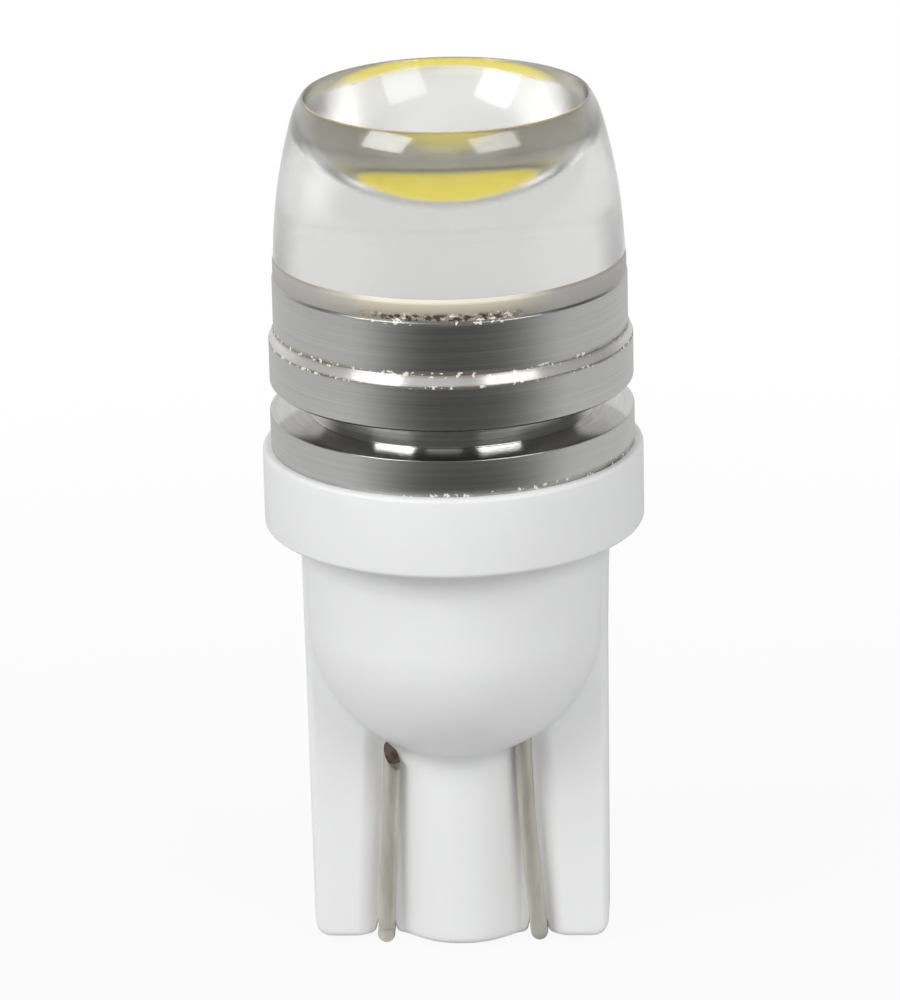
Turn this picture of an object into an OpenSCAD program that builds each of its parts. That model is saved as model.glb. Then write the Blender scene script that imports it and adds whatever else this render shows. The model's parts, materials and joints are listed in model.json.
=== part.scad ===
// Wedge base LED bulb: a clear lens on a turned aluminium body, a round emitter below the lens,
// a round driver board in the hollow of a white moulded wedge base, and two bent lead wires.
// Z runs up the bulb. The origin is in the middle of the blade's end, X along the blade's width.

/* [Lens] */
// How far the lens stands back from the band below it
lens_step = 0.06; // [0.04:0.01:0.1]
// Height of the lens above its flat underside
lens_h = 5.19; // [4.6:0.01:6]
// Radius of the curve of the lens's side
lens_side_r = 16.5; // [15:0.1:20]
// Radius of the lens's shoulder under its rim
shoulder_r = 2.2; // [1.6:0.1:3]
// Width of the lens from the mouth of the dish to its base's edge
dish_wall = 1.01; // [0.97:0.01:1.07]
// Depth of the dish below the rim
dish_depth = 3.2; // [2:0.05:3.6]
// Radius of the rim's narrow rounding
rim_r = 0.04; // [0.03:0.01:0.06]

/* [Lens glue] */
// Thickness of the glue between the lens and the band
seam_t = 0.06; // [0.03:0.01:0.12]
// Width of the glue under the lens's edge
seam_w = 0.57; // [0.37:0.02:0.77]

/* [Heat sink] */
// How far the band below the lens stands back from the upper ring
band_step = 0.145; // [0.12:0.005:0.2]
// Height of the band above its bevel
band_h = 1.68; // [1.3:0.02:2.2]
// Width and height of the chamfer on the band's upper edge
band_chamfer = 0.14; // [0.05:0.01:0.2]
// Height of the bevel between the band and the upper ring
bevel_h = 0.34; // [0.2:0.02:0.5]
// How far the upper ring stands back from the lower one
ring_step = 0.015; // [0:0.005:0.04]
// Height of the upper ring
ring1_h = 1.36; // [1:0.02:1.8]
// Width and height of the small chamfer under the upper ring
ring1_chamfer = 0.1; // [0.05:0.01:0.15]
// Depth of the groove
groove_depth = 1.19; // [0.8:0.01:1.3]
// Height of the groove
groove_h = 0.85; // [0.6:0.05:1.1]
// Width of the collar's edge outside the lower ring
collar_lip = 0.25; // [0.2:0.01:0.3]
// Height of the lower ring
ring2_h = 1.1; // [0.8:0.05:1.4]
// Height of the spigot
spigot_h = 1.25; // [1:0.05:1.35]
// Thickness of the wall round the emitter's cup
cup_wall = 1; // [0.95:0.01:1.05]
// Depth of the cup that holds the emitter
cup_depth = 1.58; // [1.4:0.02:1.8]
// Gap between the supply wires and the bore that they come up through
bore_gap = 0.15; // [0.1:0.01:0.25]

/* [Emitter] */
// Thickness of the thermal paste under the emitter's board
paste_t = 0.08; // [0.04:0.01:0.12]
// Thickness of the emitter's board
emitter_t = 0.6; // [0.5:0.02:0.7]
// Gap round the emitter's board in its cup
emitter_gap = 0.08; // [0.05:0.01:0.12]
// Width of the emitter's board outside the dam
dam_margin = 0.23; // [0.15:0.01:0.5]
// Width of the white dam round the phosphor
dam_w = 0.22; // [0.15:0.01:0.25]
// Height of the dam above the board
dam_h = 0.38; // [0.3:0.01:0.4]
// How far the phosphor's surface lies below the dam's top
phosphor_drop = 0.04; // [0.02:0.01:0.08]
// Number of light emitting dies
die_count = 5; // [1:1:6]
// Width of a die
die_w = 0.5; // [0.4:0.02:0.54]
// Length of a die
die_len = 1; // [0.8:0.02:1.1]
// Thickness of a die
die_t = 0.14; // [0.1:0.01:0.2]
// Spacing of the dies
die_pitch = 1; // [0.9:0.01:1.1]

/* [Supply wires] */
// Radius of a supply wire over its insulation
supply_r = 0.34; // [0.3:0.01:0.36]
// Gap between the rectifier and a supply wire
supply_gap = 0.07; // [0.05:0.01:0.1]
// Radius of a supply wire's copper
supply_core_r = 0.18; // [0.15:0.01:0.22]
// Gap round the copper in a board's hole
board_hole_gap = 0.05; // [0.03:0.01:0.08]
// Radius of a solder joint
solder_r = 0.5; // [0.48:0.01:0.52]
// Height of a solder joint
solder_h = 0.36; // [0.3:0.01:0.4]
// Bare length of a supply wire at each end, outside the boards
supply_bare = 0.12; // [0.05:0.01:0.2]

/* [Base collar] */
// Height of the collar's underside above the blade's end
collar_z = 13.14; // [12.8:0.02:14]
// Radius of the collar
collar_r = 5.64; // [5.55:0.01:5.8]
// Height of the collar
collar_h = 2.41; // [2.35:0.01:2.8]
// Radius of the collar's rounded edges
collar_edge_r = 0.14; // [0.08:0.01:0.15]
// Thickness of the collar's floor under the spigot's recess
collar_floor = 1; // [0.8:0.05:1.05]
// Thickness of the collar's wall round the glue
collar_wall = 0.59; // [0.5:0.01:0.7]
// Thickness of the glue round the spigot
base_glue_t = 0.1; // [0.06:0.01:0.14]

/* [Base neck and dome] */
// Radius of the neck under the collar
neck_r = 4.61; // [4.58:0.01:4.7]
// Radius of the dome, which is the neck's radius at its lower end
dome_r = 4.54; // [4.4:0.01:4.56]
// Height of the neck
neck_h = 2.82; // [2.6:0.02:3]
// Wall thickness of the dome
dome_wall = 1.04; // [0.9:0.02:1.2]
// Radius of the fillet between the dome and the blade
dome_fillet = 0.45; // [0.3:0.05:0.6]

/* [Blade] */
// Width of the blade at its end
blade_w = 8.88; // [8.6:0.02:9]
// Width of the blade at its root
blade_root_w = 9.06; // [9:0.02:9.1]
// Thickness of the blade's side panels
blade_t = 2.1; // [2:0.02:2.2]
// Radius of the blade's lower corners
blade_corner_r = 0.5; // [0.3:0.05:0.7]
// Radius of the blade's long edges
blade_edge_r = 0.22; // [0.1:0.02:0.3]
// Thickness that is left between the front and back grooves
groove_floor_t = 1.52; // [1.4:0.02:1.6]
// Width of the rolled shoulder between a groove and its panel
shoulder_w = 0.65; // [0.5:0.05:0.8]
// Radius at the foot of the shoulder
shoulder_foot_r = 0.25; // [0.15:0.05:0.35]
// Overall thickness of the bulge between the grooves
bulge_t = 3.32; // [3.1:0.02:3.4]
// Radius of the bulge's face
bulge_r = 1.8; // [1.7:0.01:1.9]
// Angle of the bulge's flanks, which lean in with the lead wires
flank_angle = 65; // [60:1:70]
// Radius at the top of a flank
flank_top_r = 0.3; // [0.2:0.02:0.4]
// Radius at the foot of a flank
flank_foot_r = 0.4; // [0.3:0.02:0.5]
// Depth of the notch under each lead wire
notch_h = 0.48; // [0.4:0.01:0.6]
// Radius of the corners at the notch's mouth
notch_corner_r = 0.2; // [0.1:0.02:0.22]

/* [Lead wires] */
// Diameter of a lead wire
lead_d = 0.52; // [0.46:0.01:0.54]
// Distance from the axis to a lead wire at the blade's end
lead_x = 2.3; // [2.2:0.02:2.4]
// Angle by which a lead wire leans towards the axis
lead_lean = 3.05; // [2.5:0.05:3.4]
// How far the lead wires stand out below the blade's end
lead_drop = 0.17; // [0:0.01:0.2]
// Radius of a lead wire's bends, on its middle line
lead_bend_r = 0.32; // [0.28:0.01:0.5]
// Height of a lead wire's cut end
lead_cut_z = 6.15; // [5.6:0.05:6.2]
// Slant of a lead wire's cut end
lead_cut_angle = 48; // [20:1:60]
// How far the slant is turned towards the bulge
lead_cut_turn = 40; // [0:1:60]
// Gap round a lead wire in its hole through the dome
lead_hole_gap = 0.04; // [0.02:0.01:0.06]

/* [Driver] */
// Radius of the driver board
driver_r = 3.85; // [3.75:0.01:3.9]
// Thickness of the driver board
driver_t = 0.8; // [0.6:0.05:1]
// Gap round the driver board
driver_gap = 0.05; // [0.03:0.01:0.1]
// Height of the driver board's ledge above the dome's centre
ledge_h = 1.28; // [1.2:0.02:1.4]
// Width of the rectifier's body
rectifier_w = 1.9; // [1.8:0.02:2]
// Length of the rectifier's body
rectifier_len = 3; // [2.6:0.05:3.2]
// Height of the rectifier's body
rectifier_h = 1.05; // [0.8:0.05:1.2]
// Gap under the rectifier's body
rectifier_lift = 0.1; // [0.05:0.01:0.15]
// Thickness of the rectifier's legs
leg_t = 0.15; // [0.1:0.01:0.2]
// Width of the rectifier's legs
leg_w = 0.4; // [0.3:0.02:0.5]
// Length of a leg's foot
leg_foot = 0.4; // [0.3:0.02:0.5]
// Spacing of the rectifier's legs
leg_pitch = 1.1; // [0.9:0.05:1.2]
// Length of a resistor
resistor_len = 3.2; // [2.8:0.05:3.3]
// Width of a resistor
resistor_w = 1.6; // [1.3:0.02:1.62]
// Thickness of a resistor
resistor_t = 0.55; // [0.4:0.01:0.7]
// Distance from the middle of the board to the middle of a resistor
resistor_y = 2.16; // [2.12:0.01:2.2]
// Length of a resistor's tinned ends
resistor_end = 0.45; // [0.3:0.05:0.6]

/* [Hidden] */
$fn = 96;

// A cut reaches this far past the faces that it opens
past = 1;
// Straight pieces of a drawn arc
arc_steps = 4;

// Heights up the bulb, from the blade's end
dome_z = collar_z - neck_h;
collar_top_z = collar_z + collar_h;
recess_z = collar_z + collar_floor;
ring2_z = collar_top_z;
spigot_z = ring2_z - spigot_h;
groove_z = ring2_z + ring2_h;
ring1_z = groove_z + groove_h;
bevel_z = ring1_z + ring1_h;
band_z = bevel_z + bevel_h;
band_top_z = band_z + band_h;
cup_z = band_top_z - cup_depth;
lens_z = band_top_z + seam_t;
emitter_z = cup_z + paste_t;
emitter_top_z = emitter_z + emitter_t;
driver_z = dome_z + ledge_h;
driver_top_z = driver_z + driver_t;

// Radii that follow from what sits inside them or round them
ring2_r = collar_r - collar_lip;
ring1_r = ring2_r - ring_step;
band_r = ring1_r - band_step;
lens_base_r = band_r - lens_step;
recess_r = collar_r - collar_wall;
spigot_r = recess_r - base_glue_t;
supply_x = rectifier_w / 2 + supply_gap + supply_r;
bore_r = supply_x + supply_r + bore_gap;
cup_r = band_r - cup_wall;
emitter_r = cup_r - emitter_gap;
hollow_r = dome_r - dome_wall;
driver_bore_r = driver_r + driver_gap;
supply_hole_r = supply_core_r + board_hole_gap;
dam_r = emitter_r - dam_margin;
phosphor_r = dam_r - dam_w;
groove_r = ring2_r - groove_depth;
seam_inner_r = lens_base_r - seam_w;
dish_r = lens_base_r - dish_wall;
dish_sphere_r = (dish_r * dish_r + dish_depth * dish_depth) / (2 * dish_depth);

// The lead wires, in the grooves of the blade
lead_r = lead_d / 2;
lead_y = groove_floor_t / 2 + lead_r;
lead_hole_r = lead_r + lead_hole_gap;
lead_bottom_z = lead_r - lead_drop;
lead_top_z = driver_top_z + solder_h;
notch_r = lead_r + lead_hole_gap;

// The rolled shoulder is two arcs that meet, so their radii add up to this sum
shoulder_rise = (blade_t - groove_floor_t) / 2;
shoulder_sum = (shoulder_w * shoulder_w + shoulder_rise * shoulder_rise) / (2 * shoulder_rise);
shoulder_top_r = shoulder_sum - shoulder_foot_r;
shoulder_angle = asin(shoulder_w / shoulder_sum);

// Points of an arc round [x, y], from angle a to angle b
function arc(x, y, r, a, b) =
    [for (i = [0 : arc_steps]) [x + r * cos(a + (b - a) * i / arc_steps),
                                y + r * sin(a + (b - a) * i / arc_steps)]];

// The shoulder is tangent to the lens's side and to the rim, and the rim is tangent to the dish
side_centre_x = lens_base_r - lens_side_r;
dish_centre_z = lens_h - dish_depth + dish_sphere_r;
rim_z = lens_h - rim_r;
rim_x = sqrt(pow(dish_sphere_r + rim_r, 2) - pow(dish_centre_z - rim_z, 2));
side_reach = lens_side_r - shoulder_r;
rim_reach = shoulder_r - rim_r;
rim_run = norm([rim_x - side_centre_x, rim_z]);
rim_rise = atan2(rim_z, rim_x - side_centre_x);
shoulder_cos = (pow(side_reach, 2) + pow(rim_run, 2) - pow(rim_reach, 2)) / (2 * side_reach * rim_run);
side_lean = rim_rise - acos(shoulder_cos);
shoulder_x = side_centre_x + side_reach * cos(side_lean);
shoulder_z = side_reach * sin(side_lean);
side_top_z = lens_side_r * sin(side_lean);
shoulder_top_z = shoulder_z + (rim_z - shoulder_z) * shoulder_r / rim_reach;

// Half section of the lens without its dish
module lens_half_section() {
    intersection() {
        square([lens_base_r, side_top_z]);
        translate([side_centre_x, 0])
        circle(r = lens_side_r);
    }
    intersection() {
        translate([0, side_top_z])
        square([lens_base_r, shoulder_top_z - side_top_z]);
        union() {
            square([shoulder_x, lens_h]);
            translate([shoulder_x, shoulder_z])
            circle(r = shoulder_r);
        }
    }
    translate([rim_x, rim_z])
    circle(r = rim_r);
}

// Half section of the dish, up to the rim's rounding
module dish_half_section() {
    translate([0, dish_centre_z])
    circle(r = dish_sphere_r);
    difference() {
        translate([0, rim_z])
        square([rim_x, past]);
        translate([rim_x, rim_z])
        circle(r = rim_r);
    }
}

module lens() {
    color([0.93, 0.94, 0.94, 0.45])
    translate([0, 0, lens_z])
    rotate_extrude()
    intersection() {
        difference() {
            lens_half_section();
            dish_half_section();
        }
        square([lens_base_r, lens_h]);
    }
}

// A ring of glue that also fills the chamfer of the band's upper edge
module lens_glue() {
    color([0.9, 0.82, 0.6])
    rotate_extrude()
    polygon([
        [seam_inner_r, band_top_z],
        [band_r - band_chamfer, band_top_z],
        [band_r - band_chamfer / 2, band_top_z - band_chamfer / 2],
        [lens_base_r, lens_z],
        [seam_inner_r, lens_z]
    ]);
}

module heat_sink() {
    color([0.66, 0.66, 0.65])
    difference() {
        rotate_extrude()
        polygon([
            [0, spigot_z],
            [spigot_r, spigot_z],
            [spigot_r, ring2_z],
            [ring2_r, ring2_z],
            [ring2_r, groove_z],
            [groove_r, groove_z],
            [groove_r, ring1_z],
            [ring1_r - ring1_chamfer, ring1_z],
            [ring1_r, ring1_z + ring1_chamfer],
            [ring1_r, bevel_z],
            [band_r, band_z],
            [band_r, band_top_z - band_chamfer],
            [band_r - band_chamfer, band_top_z],
            [cup_r, band_top_z],
            [cup_r, cup_z],
            [0, cup_z]
        ]);
        translate([0, 0, spigot_z - past])
        cylinder(r = bore_r, h = cup_z - spigot_z + 2 * past);
    }
}

module thermal_paste() {
    color([0.85, 0.85, 0.83])
    translate([0, 0, cup_z])
    difference() {
        cylinder(r = emitter_r, h = paste_t);
        translate([0, 0, -past])
        cylinder(r = bore_r, h = paste_t + 2 * past);
    }
}

module emitter_board() {
    color([0.92, 0.92, 0.9])
    translate([0, 0, emitter_z])
    cylinder(r = emitter_r, h = emitter_t);
}

module emitter_dam() {
    color([0.95, 0.95, 0.93])
    translate([0, 0, emitter_top_z])
    difference() {
        cylinder(r = dam_r, h = dam_h);
        translate([0, 0, -past])
        cylinder(r = phosphor_r, h = dam_h + 2 * past);
    }
}

module led_dies() {
    color([0.35, 0.45, 0.75])
    for (i = [0 : die_count - 1])
        translate([(i - (die_count - 1) / 2) * die_pitch - die_w / 2, -die_len / 2, emitter_top_z])
        cube([die_w, die_len, die_t]);
}

module emitter_phosphor() {
    color([0.93, 0.85, 0.2])
    difference() {
        translate([0, 0, emitter_top_z])
        cylinder(r = phosphor_r, h = dam_h - phosphor_drop);
        led_dies();
    }
}

// A solder joint is a hollow cone round the copper, on the face of a board
module solder_joint(core_r) {
    color([0.72, 0.73, 0.74])
    rotate_extrude()
    polygon(concat(
        [[core_r, 0], [solder_r, 0]],
        arc(solder_r, solder_h, solder_r - core_r - board_hole_gap, 225, 180),
        [[core_r, solder_h]]
    ));
}

// A supply wire's joint, under the board whose underside is at height z
module supply_wire_solder(side, z) {
    translate([side * supply_x, 0, z])
    mirror([0, 0, 1])
    solder_joint(supply_core_r);
}

module emitter_solder_red() supply_wire_solder(1, emitter_z);
module emitter_solder_black() supply_wire_solder(-1, emitter_z);
module red_wire_solder() supply_wire_solder(1, driver_z);
module black_wire_solder() supply_wire_solder(-1, driver_z);

// Copper through the driver board and up to the emitter's board, with insulation between them
module supply_wire(side) {
    copper_z = driver_z - solder_h;
    sleeve_z = driver_top_z + supply_bare;
    sleeve_top_z = emitter_z - solder_h - supply_bare;
    translate([side * supply_x, 0, 0]) {
        translate([0, 0, copper_z])
        cylinder(r = supply_core_r, h = emitter_z - copper_z);
        translate([0, 0, sleeve_z])
        cylinder(r = supply_r, h = sleeve_top_z - sleeve_z);
    }
}

module red_wire() color([0.75, 0.12, 0.1]) supply_wire(1);
module black_wire() color([0.12, 0.12, 0.12]) supply_wire(-1);

// A lead wire's own frame: its Z leans towards the axis, and its long leg is on the -Y side
module lead_frame(side) {
    rotate([0, 0, side > 0 ? 0 : 180])
    translate([lead_x, 0, 0])
    rotate([0, -lead_lean, 0])
    children();
}

module driver_board() {
    color([0.1, 0.42, 0.24])
    difference() {
        translate([0, 0, driver_z])
        cylinder(r = driver_r, h = driver_t);
        for (side = [-1, 1]) {
            translate([side * supply_x, 0, driver_z - past])
            cylinder(r = supply_hole_r, h = driver_t + 2 * past);
            lead_frame(side)
            translate([0, -lead_y, driver_z - past])
            cylinder(r = lead_hole_r, h = driver_t + 2 * past);
        }
    }
}

module rectifier() {
    color([0.13, 0.13, 0.14])
    translate([-rectifier_w / 2, -rectifier_len / 2, driver_top_z + rectifier_lift])
    cube([rectifier_w, rectifier_len, rectifier_h]);
}

// Four legs that leave the body at mid height, turn down and stand on the board
module rectifier_legs() {
    exit_z = driver_top_z + rectifier_lift + (rectifier_h - leg_t) / 2;
    body_y = rectifier_len / 2;
    knee_y = body_y + leg_t;
    color([0.75, 0.75, 0.76])
    for (end = [0, 180], side = [-1, 1])
        rotate([0, 0, end])
        translate([side * leg_pitch / 2 - leg_w / 2, 0, 0])
        rotate([90, 0, 90])
        linear_extrude(height = leg_w)
        polygon([
            [body_y, exit_z],
            [knee_y, exit_z],
            [knee_y, driver_top_z],
            [knee_y + leg_foot, driver_top_z],
            [knee_y + leg_foot, driver_top_z + leg_t],
            [knee_y + leg_t, driver_top_z + leg_t],
            [knee_y + leg_t, exit_z + leg_t],
            [body_y, exit_z + leg_t]
        ]);
}

module resistor_body(side) {
    color([0.16, 0.16, 0.17])
    translate([-resistor_len / 2 + resistor_end, side * resistor_y - resistor_w / 2, driver_z - resistor_t])
    cube([resistor_len - 2 * resistor_end, resistor_w, resistor_t]);
}

module resistor_a() resistor_body(-1);
module resistor_b() resistor_body(1);

module resistor_ends() {
    color([0.75, 0.75, 0.76])
    for (side = [-1, 1], end = [0, 1])
        translate([
            -resistor_len / 2 + end * (resistor_len - resistor_end),
            side * resistor_y - resistor_w / 2,
            driver_z - resistor_t
        ])
        cube([resistor_end, resistor_w, resistor_t]);
}

// A turned ring of glue between the spigot and the base's recess
module base_glue() {
    color([0.9, 0.9, 0.86])
    translate([0, 0, spigot_z])
    difference() {
        cylinder(r = recess_r, h = spigot_h);
        translate([0, 0, -past])
        cylinder(r = spigot_r, h = spigot_h + 2 * past);
    }
}

// The collar, the neck and the dome
module base_turned() {
    edge = collar_edge_r;
    translate([0, 0, dome_z]) {
        sphere(r = dome_r);
        cylinder(r1 = dome_r, r2 = neck_r, h = neck_h);
    }
    translate([0, 0, collar_z])
    rotate_extrude() {
        square([collar_r - edge, collar_h]);
        translate([0, edge])
        square([collar_r, collar_h - 2 * edge]);
        for (z = [edge, collar_h - edge])
            translate([collar_r - edge, z])
            circle(r = edge);
    }
}

// The hollow for the driver board and the recess for the spigot
module base_hollow() {
    translate([0, 0, dome_z]) {
        sphere(r = hollow_r);
        cylinder(r = hollow_r, h = ledge_h + past / 2);
    }
    translate([0, 0, driver_z])
    cylinder(r = driver_bore_r, h = recess_z - driver_z + past / 2);
    translate([0, 0, recess_z])
    cylinder(r = recess_r, h = collar_top_z - recess_z + past);
}

// Front outline of the blade
module blade_outline() {
    corner = blade_corner_r;
    lean = atan((blade_root_w - blade_w) / 2 / collar_z);
    corner_x = blade_w / 2 - corner;
    polygon(concat(
        arc(corner_x, corner, corner, -90, -lean),
        [[blade_root_w / 2, collar_z], [-blade_root_w / 2, collar_z]],
        arc(-corner_x, corner, corner, 180 + lean, 270)
    ));
}

// A block with rounded long edges and a rounded lower end, which trims the blade
module blade_block(w, t) {
    edge = blade_edge_r;
    intersection() {
        linear_extrude(height = collar_z)
        polygon(concat(
            arc(w / 2 - edge, t / 2 - edge, edge, 0, 90),
            arc(-w / 2 + edge, t / 2 - edge, edge, 90, 180),
            arc(-w / 2 + edge, -t / 2 + edge, edge, 180, 270),
            arc(w / 2 - edge, -t / 2 + edge, edge, 270, 360)
        ));
        rotate([90, 0, 90])
        linear_extrude(height = w, center = true)
        polygon(concat(
            arc(t / 2 - edge, edge, edge, -90, 0),
            [[t / 2, collar_z], [-t / 2, collar_z]],
            arc(-t / 2 + edge, edge, edge, 180, 270)
        ));
    }
}

// What is cut from one face of the blade beside a lead wire, in the lead's own frame
module lead_groove(face) {
    floor_y = groove_floor_t / 2;
    foot_x = lead_r;
    mirror([0, face > 0 ? 0 : 1, 0])
    translate([0, 0, -past])
    linear_extrude(height = collar_z + 2 * past)
    polygon(concat(
        [[-lead_x - past, floor_y]],
        arc(foot_x, floor_y + shoulder_foot_r, shoulder_foot_r, -90, shoulder_angle - 90),
        arc(foot_x + shoulder_w, blade_t / 2 - shoulder_top_r, shoulder_top_r, shoulder_angle + 90, 90),
        [[foot_x + shoulder_w, blade_t], [-lead_x - past, blade_t]]
    ));
}

// The notch in the blade's end that a lead wire passes through
module lead_notch() {
    mouth = notch_r + notch_corner_r;
    rotate([90, 0, 0])
    linear_extrude(height = 2 * blade_t + past, center = true)
    polygon(concat(
        [[-mouth, -past], [-mouth, 0]],
        arc(-mouth, notch_corner_r, notch_corner_r, -90, 0),
        arc(0, notch_h - notch_r, notch_r, 180, 0),
        arc(mouth, notch_corner_r, notch_corner_r, 180, 270),
        [[mouth, -past]]
    ));
}

// What holds the bulge's flank beside a lead wire, in the lead's own frame
module bulge_flank() {
    floor_y = groove_floor_t / 2;
    top_y = bulge_t / 2;
    turn = flank_angle;
    slope_rise = top_y - floor_y - (flank_foot_r + flank_top_r) * (1 - cos(turn));
    foot_x = -lead_r;
    foot_end_x = foot_x - flank_foot_r * sin(turn);
    top_x = foot_end_x - slope_rise / tan(turn) - flank_top_r * sin(turn);
    translate([0, 0, -past])
    linear_extrude(height = dome_z + past)
    polygon(concat(
        [[-2 * lead_x, 0], [0, 0], [0, floor_y]],
        arc(foot_x, floor_y + flank_foot_r, flank_foot_r, 270, 270 - turn),
        arc(top_x, top_y - flank_top_r, flank_top_r, 90 - turn, 90),
        [[-2 * lead_x, top_y]]
    ));
}

// One face of the bulge between the grooves, narrower towards the dome, with a rounded lower end
module bulge_face() {
    edge = blade_edge_r;
    intersection() {
        translate([0, bulge_t / 2 - bulge_r, 0])
        rotate_extrude() {
            square([bulge_r - edge, dome_z]);
            translate([0, edge])
            square([bulge_r, dome_z - edge]);
            translate([bulge_r - edge, edge])
            circle(r = edge);
        }
        translate([-bulge_r, 0, 0])
        cube([2 * bulge_r, bulge_t, dome_z]);
        lead_frame(1)
        bulge_flank();
        mirror([1, 0, 0])
        lead_frame(1)
        bulge_flank();
    }
}

// A fillet that runs round the lower half of the dome, on one face of the blade
module dome_fillet_ring() {
    face_y = blade_t / 2;
    centre_y = face_y + dome_fillet;
    centre_q = sqrt(pow(dome_r + dome_fillet, 2) - centre_y * centre_y);
    touch = atan2(centre_y, centre_q);
    inner_q = dome_r * cos(touch) - dome_fillet;
    rotate([90, 0, 0])
    rotate([0, 0, 180])
    rotate_extrude(angle = 180)
    polygon(concat(
        [[inner_q, 0], [centre_q, 0]],
        arc(centre_q, centre_y, dome_fillet, 270, 180 + touch),
        [[inner_q, centre_y * dome_r / (dome_r + dome_fillet)]]
    ));
}

module blade() {
    difference() {
        union() {
            difference() {
                intersection() {
                    rotate([90, 0, 0])
                    linear_extrude(height = 2 * dome_r, center = true)
                    blade_outline();
                    union() {
                        blade_block(blade_root_w, blade_t);
                        for (face = [0, 1])
                            mirror([0, face, 0])
                            translate([0, 0, dome_z])
                            dome_fillet_ring();
                    }
                }
                for (side = [-1, 1], face = [-1, 1])
                    lead_frame(side)
                    lead_groove(face);
            }
            for (face = [0, 1])
                mirror([0, face, 0])
                bulge_face();
        }
        for (side = [-1, 1])
            lead_frame(side)
            lead_notch();
    }
}

module base_shell() {
    color([0.92, 0.93, 0.94])
    difference() {
        union() {
            base_turned();
            blade();
        }
        base_hollow();
        for (side = [-1, 1])
            lead_frame(side)
            translate([0, -lead_y, dome_z - dome_r])
            cylinder(r = lead_hole_r, h = dome_r);
    }
}

// The quarter bend from the run under the blade to the leg on the +Y side
module lead_bend() {
    mirror([0, 0, 1])
    rotate([90, 0, 90])
    rotate_extrude(angle = 90)
    translate([lead_bend_r, 0])
    circle(r = lead_r);
}

// What trims the short leg to its slanted end
module lead_trim() {
    translate([0, lead_y, lead_cut_z - lead_r])
    rotate([0, 0, lead_cut_turn])
    rotate([-lead_cut_angle, 0, 0])
    translate([-2 * lead_d, -2 * lead_d, 0])
    cube([4 * lead_d, 4 * lead_d, 2 * lead_d]);
}

// The long leg goes up into the dome, and the short one ends in a slanted cut on the other face
module lead_wire(side) {
    run_y = lead_y - lead_bend_r;
    bend_z = lead_bottom_z + lead_bend_r;
    color([0.68, 0.66, 0.6])
    lead_frame(side) {
        translate([0, -lead_y, bend_z])
        cylinder(r = lead_r, h = lead_top_z - bend_z);
        for (face = [0, 1])
            mirror([0, face, 0])
            translate([0, run_y, bend_z])
            lead_bend();
        translate([0, -run_y, lead_bottom_z])
        rotate([-90, 0, 0])
        cylinder(r = lead_r, h = 2 * run_y);
        difference() {
            translate([0, lead_y, bend_z])
            cylinder(r = lead_r, h = lead_cut_z - bend_z);
            lead_trim();
        }
    }
}

module lead_wire_left() lead_wire(-1);
module lead_wire_right() lead_wire(1);

module lead_solder(side) {
    color([0.72, 0.73, 0.74])
    lead_frame(side)
    translate([0, -lead_y, driver_top_z])
    solder_joint(lead_r);
}

module lead_solder_left() lead_solder(-1);
module lead_solder_right() lead_solder(1);

lens();
lens_glue();
heat_sink();
thermal_paste();
emitter_board();
emitter_dam();
emitter_phosphor();
led_dies();
emitter_solder_red();
emitter_solder_black();
red_wire();
black_wire();
red_wire_solder();
black_wire_solder();
driver_board();
rectifier();
rectifier_legs();
resistor_a();
resistor_b();
resistor_ends();
lead_solder_left();
lead_solder_right();
base_glue();
base_shell();
lead_wire_left();
lead_wire_right();
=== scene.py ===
import json
import math

import bpy
import numpy as np
from mathutils import Matrix, Vector


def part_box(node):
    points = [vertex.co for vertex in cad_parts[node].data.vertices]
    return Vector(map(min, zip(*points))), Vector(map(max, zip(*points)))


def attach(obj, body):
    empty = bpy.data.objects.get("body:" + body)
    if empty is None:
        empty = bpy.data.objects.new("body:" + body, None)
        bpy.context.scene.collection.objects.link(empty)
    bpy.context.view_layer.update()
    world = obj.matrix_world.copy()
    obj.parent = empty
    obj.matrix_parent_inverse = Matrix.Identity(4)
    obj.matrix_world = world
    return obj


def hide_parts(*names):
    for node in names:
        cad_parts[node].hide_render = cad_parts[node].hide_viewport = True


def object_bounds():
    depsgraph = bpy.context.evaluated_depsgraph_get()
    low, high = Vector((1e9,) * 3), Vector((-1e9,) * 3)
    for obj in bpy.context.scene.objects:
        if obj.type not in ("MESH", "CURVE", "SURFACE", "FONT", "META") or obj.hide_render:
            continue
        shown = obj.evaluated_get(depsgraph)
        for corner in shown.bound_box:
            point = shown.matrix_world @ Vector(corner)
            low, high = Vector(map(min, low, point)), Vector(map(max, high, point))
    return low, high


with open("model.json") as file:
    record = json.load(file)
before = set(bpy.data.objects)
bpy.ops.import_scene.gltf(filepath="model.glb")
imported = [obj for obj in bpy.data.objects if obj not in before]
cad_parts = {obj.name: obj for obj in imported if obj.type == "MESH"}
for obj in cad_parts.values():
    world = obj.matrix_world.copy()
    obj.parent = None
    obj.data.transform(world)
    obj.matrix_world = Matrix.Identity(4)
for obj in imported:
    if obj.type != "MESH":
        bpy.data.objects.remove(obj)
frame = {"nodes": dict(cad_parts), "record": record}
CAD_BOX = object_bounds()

# Wedge base LED bulb. Lengths below are in millimetres; the scene is in metres.
MM = 0.001

# Camera, fitted to the photograph: distance, elevation and azimuth round the bulb
PHOTO_W = 900
PHOTO_H = 1000
FOCAL_PX = 6300
SENSOR_MM = 36
CAMERA_DISTANCE = 187.3
CAMERA_ELEVATION = 18.8
CAMERA_AZIMUTH = 3.0
CAMERA_ROLL = 1.27
AIM_HEIGHT = 13.64
AIM_LEFT = 0.13

# Lens
LENS_SIDE_R = 16.5
SHOULDER_R = 2.2
DISH_R = 4.16
DISH_DEPTH = 3.2
RIM_R = 0.04
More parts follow.
